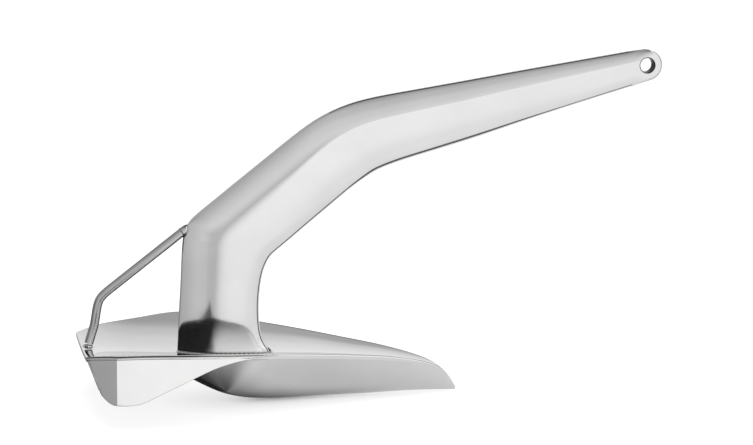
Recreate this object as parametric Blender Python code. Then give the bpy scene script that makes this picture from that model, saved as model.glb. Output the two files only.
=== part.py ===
"""Welded stainless boat anchor: scooped fluke, ballasted toe, hollow bent shank and roll bar.

Units in the tables are millimetres. X runs forward to the toe and the shackle eye,
Y runs to port, Z runs up from the floor the keel rests on.
"""

import math

import bmesh
import bpy
from mathutils import Vector

MM = 0.001
GAP = 0.3  # clearance left between pieces that are welded together
PORT, STARBOARD = 1, -1

# Fluke plate: half width, rim height and spine height of its top face along X.
RIM_HALF_WIDTH = [
    (-485, 100), (-455, 130), (-420, 146), (-375, 162), (-325, 183), (-285, 185), (-240, 170),
    (-192, 149), (-123, 118), (-43, 80), (23, 51), (74, 30), (105, 15), (125, 6), (138, 2),
]
RIM_HEIGHT = [
    (-485, 100), (-455, 106), (-375, 112), (-305, 115), (-240, 110), (-123, 96), (-43, 84),
    (23, 73), (74, 59), (105, 42), (125, 22), (138, 7),
]
SPINE_HEIGHT = [
    (-485, 99), (-420, 91), (-330, 84), (-240, 80), (-123, 76), (-43, 70), (23, 64), (74, 53),
    (105, 38), (125, 20), (138, 6),
]
DECK_THICKNESS = 8.0
DECK_REAR_X = -485.0
DECK_FRONT_X = 60.0
TOE_FRONT_X = 138.0

# Wings: plates folded down outside the rim, given by their depth below it along X.
WING_DEPTH = [
    (-485, 0), (-481, 10), (-475, 30), (-469, 46), (-462, 58), (-453, 65.5), (-440, 68), (-418, 68),
    (-404, 65.5), (-392, 61), (-376, 54.5), (-350, 43.5), (-320, 31), (-287, 18.5), (-250, 9.5),
    (-215, 5), (-180, 1.5),
]
WING_SPREAD = 0.84  # outward run for each unit of drop
WING_THICKNESS = 6.0
WING_FRONT_X = -252.0
RIM_WELD_FRONT_X = -182.0

# Hull: the closed keel chamber under the fluke plate.
KEEL_HEIGHT = [
    (-345, 62), (-304, 38), (-258, 14.5), (-226, 5.5), (-195, 2), (-160, 1.2), (-120, 1.6), (-77, 2.5),
    (-10, 3.5), (57, 5.5), (95, 5.5), (138, 4),
]
HULL_HALF_WIDTH = [(-345, 66), (-305, 104), (-250, 131), (-205, 147), (-185, 146)]
HULL_REAR_X = -345.0
TRANSOM_THICKNESS = 4.0
HULL_THICKNESS = 5.0
HULL_BULGE = 0.09
KEEL_BAR_WIDTH = 6.0
KEEL_BAR_HEIGHT = 8.0
BULKHEAD_X = (-136.0, -130.0)
BALLAST_X = (-129.6, 58.0)

# Shank: stations from the foot to the eye, each with the X and Z of its rear or top edge,
# the X and Z of its front or bottom edge, its half thickness and where the crease lies.
SHANK_STATIONS = [
    (-327, None, -172, None, 29.0, 0.40),
    (-326, 100, -180, 97, 27.5, 0.40),
    (-325, 122, -189, 120, 26.0, 0.41),
    (-323, 155, -194, 155, 25.0, 0.42),
    (-320, 200, -192, 186, 25.0, 0.42),
    (-318, 245, -188, 210, 25.0, 0.42),
    (-315.5, 276, -182, 228, 24.8, 0.41),
    (-311, 294, -173, 243, 24.5, 0.40),
    (-300, 306, -161, 253, 24.2, 0.39),
    (-272, 328, -141, 269, 23.8, 0.38),
    (-225, 365, -108, 296, 23.0, 0.37),
    (-175, 404, -72, 325, 22.2, 0.36),
    (-130, 439, -42, 349, 21.5, 0.34),
    (-100, 460, -20, 365, 20.8, 0.32),
    (-68, 477, 0, 378, 20.0, 0.31),
    (-32, 490, 22, 387, 19.2, 0.30),
    (10, 499, 50, 396, 18.4, 0.30),
    (70, 508.5, 100, 410, 17.4, 0.30),
    (150, 521, 172, 430.5, 16.2, 0.30),
    (240, 535.5, 256, 456, 14.8, 0.30),
    (340, 551, 352, 484, 13.4, 0.30),
    (424, 564, 434, 507.5, 12.6, 0.30),
]
SHELL_THICKNESS = 5.0
SEAM_WIDTH = 6.0
SEAM_DEPTH = 6.0
SEAM_PROUD = 0.8

# Shackle eye at the end of the shank.
EYE_X, EYE_Z = 459.5, 542.0
EYE_RADIUS = 25.5
EYE_HALF_THICKNESS = 12.0
EYE_BORE_RADIUS = 12.0
EYE_BORE_CHAMFER = 1.8

# Roll bar: one bent rod in the centre plane.
ROD_RADIUS = 7.25
ROD_PATH = [(-323, 277.8), (-444, 185.5), (-453.5, 176), (-458, 164), (-463, 134), (-471.5, 104.5)]
WELD_LEG = 5.0
ROD_WELD_LEG = 3.6

STAINLESS = ((0.80, 0.81, 0.82), 0.10, 1.0)
WELD_STEEL = ((0.74, 0.74, 0.74), 0.22, 1.0)
LEAD = ((0.26, 0.27, 0.29), 0.60, 1.0)


def fair(table, x):
    """Value at x of a smooth curve through a table of (x, value) pairs."""
    last = len(table) - 1
    i = 0
    while i < last - 1 and x > table[i + 1][0]:
        i += 1
    (x0, y0), (x1, y1) = table[i], table[i + 1]

    def slope(k):
        lo, hi = max(0, k - 1), min(last, k + 1)
        return (table[hi][1] - table[lo][1]) / (table[hi][0] - table[lo][0])

    step = x1 - x0
    t = min(1.0, max(0.0, (x - x0) / step))
    m0, m1 = slope(i) * step, slope(i + 1) * step
    return (
        y0 * (2 * t**3 - 3 * t**2 + 1)
        + m0 * (t**3 - 2 * t**2 + t)
        + y1 * (3 * t**2 - 2 * t**3)
        + m1 * (t**3 - t**2)
    )


def spread(start, end, count):
    """Evenly spaced values from start to end."""
    return [start + (end - start) * i / (count - 1) for i in range(count)]


def deck_top(x, y):
    """Height of the fluke plate's top face."""
    rim, spine = fair(RIM_HEIGHT, x), fair(SPINE_HEIGHT, x)
    return spine + (rim - spine) * (y / fair(RIM_HALF_WIDTH, x)) ** 2


def deck_bottom(x, y):
    return deck_top(x, y) - DECK_THICKNESS


def make_material(name, look):
    colour, roughness, metallic = look
    material = bpy.data.materials.new(name)
    material.use_nodes = True
    shader = material.node_tree.nodes["Principled BSDF"]
    shader.inputs["Base Color"].default_value = (*colour, 1.0)
    shader.inputs["Roughness"].default_value = roughness
    shader.inputs["Metallic"].default_value = metallic
    return material


def finish(name, bm, look, sharp_deg=35):
    """Turn a bmesh in millimetres into a named object with its own material."""
    bmesh.ops.scale(bm, vec=(MM, MM, MM), verts=bm.verts)
    bmesh.ops.recalc_face_normals(bm, faces=bm.faces)
    mesh = bpy.data.meshes.new(name)
    bm.to_mesh(mesh)
    bm.free()
    obj = bpy.data.objects.new(name, mesh)
    anchor.objects.link(obj)
    mesh.materials.append(make_material(name, look))
    mesh.shade_smooth()
    mesh.set_sharp_from_angle(angle=math.radians(sharp_deg))
    return obj


def loft(name, sections, look, closed=False, sharp_deg=35):
    """Skin equal-count closed loops; end loops are capped unless the loft closes on itself."""
    bm = bmesh.new()
    rings = [[bm.verts.new(p) for p in section] for section in sections]
    pairs = list(zip(rings, rings[1:]))
    if closed:
        pairs.append((rings[-1], rings[0]))
    for a, b in pairs:
        for i in range(len(a)):
            j = (i + 1) % len(a)
            bm.faces.new((a[i], a[j], b[j], b[i]))
    if not closed:
        bm.faces.new(rings[0])
        bm.faces.new(reversed(rings[-1]))
    return finish(name, bm, look, sharp_deg)


# ---------------------------------------------------------------- fluke plate

DECK_COLUMNS = spread(-1.0, 1.0, 11)


def build_deck():
    sections = []
    for x in [-485, -470, -455, -437, -420, -398, -375, -350, -325, -305, -285, -262, -240, -216,
              -192, -158, -123, -83, -43, -10, 23, DECK_FRONT_X]:
        half = fair(RIM_HALF_WIDTH, x)
        top = [(x, half * c, deck_top(x, half * c)) for c in DECK_COLUMNS]
        bottom = [(x, half * c, deck_bottom(x, half * c)) for c in reversed(DECK_COLUMNS)]
        sections.append(top + bottom)
    loft("fluke_deck", sections, STAINLESS)


# ----------------------------------------------------------------------- wings

NORMAL_LENGTH = math.hypot(1.0, WING_SPREAD)
PLATE_INSET = WING_THICKNESS / NORMAL_LENGTH
WING_TOP_DEPTH = (PLATE_INSET + GAP) / WING_SPREAD


def wing_point(x, depth, inset=0.0):
    """Point on the wing's outer face, or inset behind it, on the port side."""
    y = fair(RIM_HALF_WIDTH, x) + WING_SPREAD * depth - inset / NORMAL_LENGTH
    z = fair(RIM_HEIGHT, x) - depth - WING_SPREAD * inset / NORMAL_LENGTH
    return x, y, z


def build_wing(name, side):
    # Top and bottom ends of each rib: the rear ribs slant with the raked trailing edge.
    ribs = [
        (-482.6, -468), (-476, -459), (-468, -450), (-456, -440), (-440, -428), (-422, -415),
        (-404, -400), (-384, -382), (-362, -362), (-335, -335), (-308, -308), (-280, -280),
        (WING_FRONT_X, WING_FRONT_X),
    ]
    sections = []
    for top_x, foot_x in ribs:
        foot_depth = fair(WING_DEPTH, foot_x)
        outer, inner = [], []
        for t in spread(0.0, 1.0, 4):
            x = top_x + (foot_x - top_x) * t
            depth = WING_TOP_DEPTH + (foot_depth - WING_TOP_DEPTH) * t
            outer.append(wing_point(x, depth))
            inner.append(wing_point(x, depth, WING_THICKNESS))
        loop = outer + inner[::-1]
        sections.append([(x, side * y, z) for x, y, z in loop])
    loft(name, sections, STAINLESS)


def build_rim_weld(name, side):
    """Rounded bead filling the corner between the plate's rim and the wing."""
    sections = []
    for x in [-483, -470, -455, -437, -420, -398, -375, -350, -325, -305, -285, -268, -252, -236,
              -220, -200, RIM_WELD_FRONT_X]:
        rim_y, rim_z = fair(RIM_HALF_WIDTH, x) + GAP, fair(RIM_HEIGHT, x)
        depth = min(WING_TOP_DEPTH - 2 * GAP, fair(WING_DEPTH, x) * 0.6)
        depth = max(depth, 0.8) if x > WING_FRONT_X else WING_TOP_DEPTH - 2 * GAP
        reach = WING_SPREAD * depth
        loop = [
            (rim_y, rim_z),
            (rim_y + 0.40 * reach, rim_z - 0.12 * depth),
            (rim_y + 0.80 * reach, rim_z - 0.45 * depth),
            (rim_y + reach, rim_z - depth),
            (rim_y, rim_z - depth - 0.6 * PLATE_INSET),
        ]
        sections.append([(x, side * y, z) for y, z in loop])
    loft(name, sections, WELD_STEEL, sharp_deg=60)


# ------------------------------------------------------------------------ hull

KEEL_SIDE_Y = KEEL_BAR_WIDTH / 2 + GAP


def hull_half_width(x):
    """Half width of the hull where it meets the fluke plate."""
    if x < HULL_HALF_WIDTH[-1][0]:
        return fair(HULL_HALF_WIDTH, x)
    return fair(RIM_HALF_WIDTH, x)


def hull_profile(x, inset=0.0, seat=GAP, keel_y=KEEL_SIDE_Y, count=6):
    """(y, z) points from the plate down to the keel on the port side."""
    top_y = hull_half_width(x)
    top_z = deck_bottom(x, top_y) - GAP
    keel_z = fair(KEEL_HEIGHT, x)
    run, drop = top_y - KEEL_SIDE_Y, top_z - keel_z
    chord = math.hypot(run, drop)
    out_y, out_z = drop / chord, -run / chord
    points = []
    for t in spread(0.0, 1.0, count):
        belly = HULL_BULGE * chord * 4 * t * (1 - t) - inset
        points.append([top_y - run * t + out_y * belly, top_z - drop * t + out_z * belly])
    # The first point is cut to the plate's underside and the last to the keel bar's side.
    points[0][0] = top_y - min(inset / out_y, 2.5 * inset)
    points[0][1] = deck_bottom(x, points[0][0]) - seat
    last, before = points[-1], points[-2]
    grade = (last[1] - before[1]) / (last[0] - before[0])
    last[1] += grade * (keel_y - last[0])
    last[0] = keel_y
    return [tuple(p) for p in points]


def build_hull_side(name, side):
    sections = []
    for x in [HULL_REAR_X, -326, -305, -280, -258, -238, -220, -205, -190, -172, -150, -123, -83,
              -43, -10, 23, DECK_FRONT_X]:
        loop = hull_profile(x) + hull_profile(x, inset=HULL_THICKNESS)[::-1]
        sections.append([(x, side * y, z) for y, z in loop])
    loft(name, sections, STAINLESS)


def build_transom():
    """Plate that closes the rear of the hull."""
    port = hull_profile(HULL_REAR_X)
    port[-1] = (port[-1][0], port[-1][1] - 0.4)
    lid_y = port[0][0]
    lid = [(lid_y * c, deck_bottom(HULL_REAR_X, lid_y * c) - 2 * GAP) for c in (-0.5, 0.0, 0.5)]
    loop = port + [(-y, z) for y, z in reversed(port)] + lid
    sections = []
    for x in (HULL_REAR_X - GAP - TRANSOM_THICKNESS, HULL_REAR_X - GAP):
        lift = deck_bottom(x, 0.0) - deck_bottom(HULL_REAR_X, 0.0)
        sections.append([(x, y, z + lift) for y, z in loop])
    loft("hull_transom", sections, STAINLESS)


def build_keel_seam():
    half = KEEL_BAR_WIDTH / 2
    sections = []
    for x in [HULL_REAR_X, -326, -305, -280, -258, -238, -220, -205, -190, -172, -143, -100, -50, 0,
              30, DECK_FRONT_X]:
        base = fair(KEEL_HEIGHT, x)
        loop = [
            (-half, base + 0.4), (-half * 0.5, base - 1.2), (half * 0.5, base - 1.2),
            (half, base + 0.4), (half, base + KEEL_BAR_HEIGHT), (-half, base + KEEL_BAR_HEIGHT),
        ]
        sections.append([(x, y, z) for y, z in loop])
    loft("keel_seam", sections, WELD_STEEL)


def build_toe_point():
    sections = []
    for x in [DECK_FRONT_X + GAP, 67, 74, 82, 90, 98, 105, 112, 119, 125, 130, 134.5, TOE_FRONT_X]:
        half = fair(RIM_HALF_WIDTH, x)
        columns = spread(-1.0, 1.0, 7)
        top = [(x, half * c, deck_top(x, half * c)) for c in columns]
        keel_z = fair(KEEL_HEIGHT, x) - 1.2
        rim_z = fair(RIM_HEIGHT, x)
        side = []
        for t in (0.25, 0.5, 0.75):
            bulge = 4 * HULL_BULGE * t * (1 - t)
            y = half * (1 - t) + bulge * (rim_z - keel_z)
            side.append((min(y, half), rim_z + (keel_z - rim_z) * t - bulge * half))
        keel_y = min(1.5, half * 0.6)
        port = side + [(keel_y, keel_z)]
        starboard = [(-y, z) for y, z in reversed(port)]
        sections.append(top + [(x, y, z) for y, z in port + starboard])
    loft("toe_point", sections, STAINLESS)


def chamber_loop(x, inset):
    """Closed loop just inside the hull chamber at x."""
    seat = 3 * GAP
    port = hull_profile(x, inset=inset, seat=seat, keel_y=KEEL_SIDE_Y + GAP)
    lid_y = port[0][0]
    lid = [(lid_y * c, deck_bottom(x, lid_y * c) - seat) for c in spread(-1.0, 1.0, 9)[1:-1]]
    keel_top = fair(KEEL_HEIGHT, x) + KEEL_BAR_HEIGHT + 2 * GAP
    port[-1] = (port[-1][0], max(port[-1][1], keel_top))
    starboard = [(-y, z) for y, z in reversed(port)]
    return [(x, y, z) for y, z in port + starboard + lid]


def build_chamber_fill(name, xs, look):
    loft(name, [chamber_loop(x, HULL_THICKNESS + 2 * GAP) for x in xs], look)


# ----------------------------------------------------------------------- shank


def station_frame(station):
    """Edge points of a shank station and the unit vector across it."""
    rear_x, rear_z, front_x, front_z, half, crease = station
    if rear_z is None:
        rear_z = deck_top(rear_x, 0.0) + 2 * GAP
        front_z = deck_top(front_x, 0.0) + 2 * GAP
    rear, front = Vector((rear_x, 0, rear_z)), Vector((front_x, 0, front_z))
    across = front - rear
    length = across.length
    return rear, across / length, length, half, crease


def shell_loop(station, side):
    """Half section of the shank: outer face then inner face, clear of both seams."""
    rear, across, length, half, crease = station_frame(station)
    seam = SEAM_WIDTH / 2 + GAP
    corner = 1.0 - 10.0 / length if length > 100 else 1.0 - 0.085
    wall = SHELL_THICKNESS
    outer = [
        (0.0, seam),
        (0.12 * crease * length, seam + 0.26 * (half - seam)),
        (0.60 * crease * length, seam + 0.80 * (half - seam)),
        (crease * length, half),
        ((0.55 * crease + 0.45 * corner) * length, 0.92 * half),
        (corner * length, 0.62 * half),
        (length, seam),
    ]
    inner = [
        (SEAM_DEPTH + 1.5, seam),
        (0.12 * crease * length + wall, max(seam, seam + 0.26 * (half - seam) - wall)),
        (0.60 * crease * length + 0.5 * wall, max(seam, seam + 0.80 * (half - seam) - wall)),
        (crease * length, half - wall),
        ((0.55 * crease + 0.45 * corner) * length, 0.92 * half - wall),
        (corner * length - wall, max(seam + 0.4, 0.62 * half - wall)),
        (length - SEAM_DEPTH - 1.5, seam),
    ]
    inner[1] = (max(inner[1][0], inner[0][0] + 1.0), inner[1][1])
    inner[5] = (min(inner[5][0], inner[6][0] - 1.0), inner[5][1])
    loop = []
    for along, y in outer + inner[::-1]:
        point = rear + across * along
        if station[1] is None:
            point.z = deck_top(point.x, y) + 2 * GAP
        loop.append((point.x, side * y, point.z))
    return loop


def build_shell(name, side):
    loft(name, [shell_loop(s, side) for s in SHANK_STATIONS], STAINLESS, sharp_deg=30)


def build_seam(name, at_front):
    """Weld strip between the two shells along one edge of the shank."""
    half = SEAM_WIDTH / 2
    sections = []
    for station in SHANK_STATIONS:
        rear, across, length, _, _ = station_frame(station)
        edge, inward = (rear + across * length, -across) if at_front else (rear, across)
        loop = []
        for along, y in [(0.3, -half), (-SEAM_PROUD, -0.5 * half), (-SEAM_PROUD, 0.5 * half),
                         (0.3, half), (SEAM_DEPTH, half), (SEAM_DEPTH, -half)]:
            point = edge + inward * along
            if station[1] is None:
                point.z = deck_top(point.x, y) + 2 * GAP
            loop.append((point.x, y, point.z))
        sections.append(loop)
    loft(name, sections, WELD_STEEL, sharp_deg=50)


def build_foot_weld():
    """Bead that runs round the shank's foot on the fluke plate."""
    port = [(x, y) for x, y, _ in shell_loop(SHANK_STATIONS[0], PORT)[:7]]
    port[0] = (port[0][0] - SEAM_PROUD, port[0][1])
    port[-1] = (port[-1][0] + SEAM_PROUD, port[-1][1])
    outline = port + [(x, -y) for x, y in reversed(port)]
    sections = []
    for i, (x, y) in enumerate(outline):
        px, py = outline[i - 1]
        nx, ny = outline[(i + 1) % len(outline)]
        out = Vector((py - ny, nx - px)).normalized()
        if out.dot(Vector((x + 250.0, y * 4))) < 0:
            out = -out
        loop = []
        for reach, rise in [(1.0, 0.5), (WELD_LEG, 0.5), (0.62 * WELD_LEG, 0.62 * WELD_LEG),
                            (1.0, WELD_LEG)]:
            qx, qy = x + out.x * reach, y + out.y * reach
            loop.append((qx, qy, deck_top(qx, qy) + rise))
        sections.append(loop)
    loft("foot_weld", sections, WELD_STEEL, closed=True, sharp_deg=60)


def build_shackle_eye():
    """Forged eye that closes the shank: round nose, flat cheeks and a chamfered bore."""
    rear, across, length, _, _ = station_frame(SHANK_STATIONS[-1])
    forward = Vector((-across.z, 0, across.x))
    top = rear + forward * GAP + across * 0.5
    bottom = rear + across * (length - 0.5) + forward * GAP
    centre = Vector((EYE_X, 0, EYE_Z))
    start = math.radians(98)
    stop = math.radians(-72)
    outline = [bottom, top]
    for angle in spread(start, stop, 19):
        outline.append(centre + EYE_RADIUS * Vector((math.cos(angle), 0, math.sin(angle))))
    sections = []
    for y, shrink in [(-EYE_HALF_THICKNESS, 3.0), (-EYE_HALF_THICKNESS + 3.0, 0.0),
                      (EYE_HALF_THICKNESS - 3.0, 0.0), (EYE_HALF_THICKNESS, 3.0)]:
        loop = []
        for p in outline:
            toward = centre - p
            q = p + toward.normalized() * shrink
            loop.append((q.x, y, q.z))
        sections.append(loop)
    eye = loft("shackle_eye", sections, STAINLESS)

    reach = EYE_HALF_THICKNESS + 4.0
    flare = EYE_BORE_CHAMFER
    profile = [
        (EYE_BORE_RADIUS + flare + 4.0, reach),
        (EYE_BORE_RADIUS, EYE_HALF_THICKNESS - flare),
        (EYE_BORE_RADIUS, -EYE_HALF_THICKNESS + flare),
        (EYE_BORE_RADIUS + flare + 4.0, -reach),
    ]
    rings = []
    for radius, y in profile:
        ring = []
        for angle in spread(0.0, 2 * math.pi, 33)[:-1]:
            ring.append((EYE_X + radius * math.cos(angle), y, EYE_Z + radius * math.sin(angle)))
        rings.append(ring)
    cutter = loft("eye_bore_cutter", rings, STAINLESS)
    anchor.objects.unlink(cutter)
    cutters.objects.link(cutter)
    cutter.hide_render = True
    cutter.display_type = "WIRE"
    bore = eye.modifiers.new("bore", "BOOLEAN")
    bore.operation = "DIFFERENCE"
    bore.solver = "EXACT"
    bore.object = cutter


# -------------------------------------------------------------------- roll bar


def build_roll_bar():
    curve = bpy.data.curves.new("roll_bar_path", "CURVE")
    curve.dimensions = "3D"
    curve.bevel_depth = ROD_RADIUS * MM
    curve.bevel_resolution = 5
    curve.use_fill_caps = True
    spline = curve.splines.new("POLY")
    spline.points.add(len(ROD_PATH) - 1)
    for point, (x, z) in zip(spline.points, ROD_PATH):
        point.co = (x * MM, 0, z * MM, 1)
    path = bpy.data.objects.new("roll_bar_path", curve)
    mesh = bpy.data.meshes.new_from_object(path)
    bpy.data.objects.remove(path)
    bm = bmesh.new()
    bm.from_mesh(mesh)
    bpy.data.meshes.remove(mesh)
    bmesh.ops.remove_doubles(bm, verts=bm.verts, dist=0.00001)
    bmesh.ops.scale(bm, vec=(1 / MM, 1 / MM, 1 / MM), verts=bm.verts)
    finish("roll_bar", bm, STAINLESS)


def build_collar(name, axis_point, axis, wall_point, wall_normal):
    """Fillet bead round the rod where it meets a wall."""
    axis = Vector(axis).normalized()
    normal = Vector(wall_normal).normalized()
    side = Vector((0, 1, 0))
    up = axis.cross(side).normalized()
    sections = []
    for angle in spread(0.0, 2 * math.pi, 17)[:-1]:
        around = side * math.cos(angle) + up * math.sin(angle)
        loop = []
        for reach, height in [(GAP, GAP), (ROD_WELD_LEG, GAP),
                              (0.55 * ROD_WELD_LEG, 0.55 * ROD_WELD_LEG), (GAP, ROD_WELD_LEG)]:
            start = Vector(axis_point) + around * (ROD_RADIUS + reach)
            travel = (height - (start - Vector(wall_point)).dot(normal)) / axis.dot(normal)
            loop.append(tuple(start + axis * travel))
        sections.append(loop)
    loft(name, sections, WELD_STEEL, closed=True, sharp_deg=60)


for old in list(bpy.data.objects):
    bpy.data.objects.remove(old)

anchor = bpy.data.collections.new("boat_anchor")
cutters = bpy.data.collections.new("cutters")
bpy.context.scene.collection.children.link(anchor)
bpy.context.scene.collection.children.link(cutters)
cutters.hide_render = True

build_deck()
for suffix, which in (("port", PORT), ("starboard", STARBOARD)):
    build_wing(f"wing_{suffix}", which)
    build_rim_weld(f"rim_weld_{suffix}", which)
    build_hull_side(f"hull_side_{suffix}", which)
    build_shell(f"shank_shell_{suffix}", which)
build_transom()
build_keel_seam()
build_toe_point()
build_chamber_fill("ballast_bulkhead", BULKHEAD_X, STAINLESS)
build_chamber_fill("lead_ballast", spread(*BALLAST_X, 10), LEAD)
build_seam("shank_seam_top", at_front=False)
build_seam("shank_seam_bottom", at_front=True)
build_foot_weld()
build_shackle_eye()
build_roll_bar()

top_run = Vector((ROD_PATH[1][0] - ROD_PATH[0][0], 0, ROD_PATH[1][1] - ROD_PATH[0][1]))
foot_run = Vector((ROD_PATH[-2][0] - ROD_PATH[-1][0], 0, ROD_PATH[-2][1] - ROD_PATH[-1][1]))
rod_top = (ROD_PATH[0][0], 0, ROD_PATH[0][1])
rod_foot = (ROD_PATH[-1][0], 0, ROD_PATH[-1][1])
build_collar("roll_bar_top_weld", rod_top, top_run, (-318.6, 0, 270), (-1, 0, 0))
foot_wall = (ROD_PATH[-1][0], 0, deck_top(ROD_PATH[-1][0], 0) + 0.5)
build_collar("roll_bar_foot_weld", rod_foot, foot_run, foot_wall, (0.13, 0, 1))
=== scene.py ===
"""Polished stainless boat anchor on a white studio floor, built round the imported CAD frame."""

import math

import bmesh
import bpy
import numpy as np
from mathutils import Matrix, Vector


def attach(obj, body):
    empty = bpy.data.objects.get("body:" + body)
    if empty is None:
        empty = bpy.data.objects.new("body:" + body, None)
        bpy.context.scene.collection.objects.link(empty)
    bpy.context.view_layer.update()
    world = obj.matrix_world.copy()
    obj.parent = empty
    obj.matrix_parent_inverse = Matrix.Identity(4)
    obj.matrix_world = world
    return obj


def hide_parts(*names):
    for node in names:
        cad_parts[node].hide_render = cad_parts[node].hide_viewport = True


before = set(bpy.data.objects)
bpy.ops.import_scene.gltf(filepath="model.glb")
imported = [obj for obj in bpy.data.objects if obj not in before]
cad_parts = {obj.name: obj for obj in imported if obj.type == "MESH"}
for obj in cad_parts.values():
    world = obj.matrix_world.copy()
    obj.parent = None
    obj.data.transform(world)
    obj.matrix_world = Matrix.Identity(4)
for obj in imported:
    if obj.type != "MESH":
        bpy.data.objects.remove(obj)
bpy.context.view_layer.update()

scene = bpy.context.scene

MM = 0.001
PORT, STARBOARD = 1.0, -1.0

# Shape tables of the CAD part, in millimetres: X forward, Y to port, Z up.
RIM_HALF_WIDTH = [
    (-420, 146), (-375, 162), (-325, 183), (-285, 185), (-240, 170), (-192, 149), (-123, 118),
    (-43, 80), (23, 51), (74, 30), (105, 15), (125, 6), (138, 2),
]
TAIL_X, TAIL_HALF_WIDTH, CORNER_X = -485.0, 104.0, -438.5
RIM_HEIGHT = [
    (-485, 101.5), (-455, 106.5), (-375, 112), (-305, 115), (-240, 110), (-123, 96), (-43, 84),
    (23, 73), (74, 60.5), (100, 51), (116, 42.5), (127, 32), (134, 20.5), (138, 9),
]
SPINE_HEIGHT = [
    (-485, 99), (-420, 91), (-330, 84), (-240, 80), (-123, 76), (-43, 70), (23, 64), (74, 54.5),
    (100, 47), (116, 39.5), (127, 29.5), (134, 18.5), (138, 7.5),
]
DECK_THICKNESS = 8.0
DECK_END_ROUND = 1.3
BEAD_SEAT = 0.9
DECK_FRONT_X = 60.0
WING_DEPTH = [
    (-485, 0), (-481, 10), (-475, 30), (-469, 46), (-462, 58), (-453, 65.5), (-440, 68), (-418, 68),
    (-404, 65.5), (-392, 61), (-376, 54.5), (-350, 43.5), (-320, 31), (-287, 18.5), (-250, 9.5),
    (-215, 5), (-180, 1.5),
]
WING_SPREAD = 0.84
WING_THICKNESS = 6.0
WING_END_X, WING_TAIL_X, WING_TAIL_FOOT_X, WING_END_ROUND = -226.0, -482.7, -468.0, 2.0
RIM_WELD_FRONT_X = -182.0
KEEL_HEIGHT = [
    (-345, 62), (-304, 38), (-258, 14.5), (-226, 5.5), (-195, 2), (-160, 1.2), (-120, 1.6), (-77, 2.5),
    (-10, 3.5), (57, 5.5), (95, 5.5), (138, 4),
]
HULL_HALF_WIDTH = [(-345, 66), (-305, 104), (-250, 131), (-205, 147), (-185, 146)]
HULL_REAR_X = -345.0
HULL_THICKNESS = 5.0
HULL_BULGE = 0.09
KEEL_SIDE_Y = 3.3
KEEL_BAR_HEIGHT = 8.0
TOE_NOSE_X, TOE_NOSE_LENGTH = 126, 12
SHANK_STATIONS = [
    (-327, 85, -172, 78.5, 25.6, 0.42),
    (-326, 100, -185.5, 97, 25.2, 0.42),
    (-325, 122, -192, 120, 25.0, 0.42),
    (-323, 155, -194, 155, 25.0, 0.42),
    (-320, 200, -192, 186, 25.0, 0.42),
    (-318, 245, -188, 210, 25.0, 0.42),
    (-315.5, 276, -182, 228, 24.8, 0.41),
    (-311, 294, -173, 243, 24.5, 0.40),
    (-300, 306, -161, 253, 24.2, 0.39),
    (-272, 328, -141, 269, 23.8, 0.38),
    (-225, 365, -108, 296, 23.0, 0.37),
    (-175, 404, -72, 325, 22.2, 0.36),
    (-130, 439, -42, 349, 21.5, 0.34),
    (-100, 460, -20, 365, 20.8, 0.32),
    (-68, 477, 0, 378, 20.0, 0.31),
    (-32, 490, 22, 387, 19.2, 0.30),
    (10, 499, 50, 396, 18.4, 0.30),
    (70, 508.5, 100, 410, 17.4, 0.30),
    (150, 521, 172, 430.5, 16.2, 0.30),
    (240, 535.5, 256, 456, 14.8, 0.30),
    (340, 551, 352, 484, 13.4, 0.30),
    (424, 564, 434, 507.5, 12.6, 0.30),
]
SHELL_WALL = 5.0
TOP_ROLL = 1.3
SEAM_HALF = 3.0
FOOT_BLEND, FOOT_LIFT = 9.0, 0.2
EYE_X, EYE_Z = 459.5, 542.0
EYE_RADIUS = 25.42
EYE_HALF_THICKNESS = 12.0
EYE_BORE_RADIUS = 12.0
ROD_RADIUS = 7.25
ROD_HEAD_LENGTH = 19.0
ROD_PATH = [(-320, 280.1), (-444, 185.5), (-453.5, 176), (-457.3, 164), (-462.2, 134), (-472.2, 102)]


# ------------------------------------------------------------------ curve helpers


def hermite(table, x):
    """Values of a smooth curve through (x, value) pairs, continued straight past its ends."""
    xs, ys = np.array(table, float).T
    x = np.asarray(x, float)
    slopes = np.empty(len(xs))
    slopes[1:-1] = (ys[2:] - ys[:-2]) / (xs[2:] - xs[:-2])
    slopes[0] = (ys[1] - ys[0]) / (xs[1] - xs[0])
    slopes[-1] = (ys[-1] - ys[-2]) / (xs[-1] - xs[-2])
    i = np.clip(np.searchsorted(xs, x) - 1, 0, len(xs) - 2)
    step = xs[i + 1] - xs[i]
    t = np.clip((x - xs[i]) / step, 0, 1)
    inside = (
        ys[i] * (2 * t**3 - 3 * t**2 + 1)
        + slopes[i] * step * (t**3 - 2 * t**2 + t)
        + ys[i + 1] * (3 * t**2 - 2 * t**3)
        + slopes[i + 1] * step * (t**3 - t**2)
    )
    return inside + np.minimum(x - xs[0], 0) * slopes[0] + np.maximum(x - xs[-1], 0) * slopes[-1]


def blurred(values, step, spread):
    """Gaussian blur of evenly spaced samples whose ends stay where they are."""
    reach = min(int(4 * spread / step) + 1, len(values) - 1)
    kernel = np.exp(-0.5 * (np.arange(-reach, reach + 1) * step / spread) ** 2)
    kernel /= kernel.sum()
    head = 2 * values[0] - values[reach:0:-1]
    tail = 2 * values[-1] - values[-2:-reach - 2:-1]
    return np.convolve(np.concatenate([head, values, tail]), kernel, mode="valid")


def fair_curve(table, spread=9.0):
    """A function that reads a table as one fair curve."""
    xs = np.arange(table[0][0], table[-1][0] + 0.5, 1.0)
    ys = blurred(hermite(table, xs), 1.0, spread)
    first, last = ys[1] - ys[0], ys[-1] - ys[-2]

    def read(x):
        x = np.asarray(x, float)
        return (np.interp(x, xs, ys) + np.minimum(x - xs[0], 0) * first
                + np.maximum(x - xs[-1], 0) * last)

    return read


def lengths(points):
    """Distance along a line of points, at each point."""
    return np.concatenate([[0], np.cumsum(np.hypot(*np.diff(points, axis=0).T))])


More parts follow.
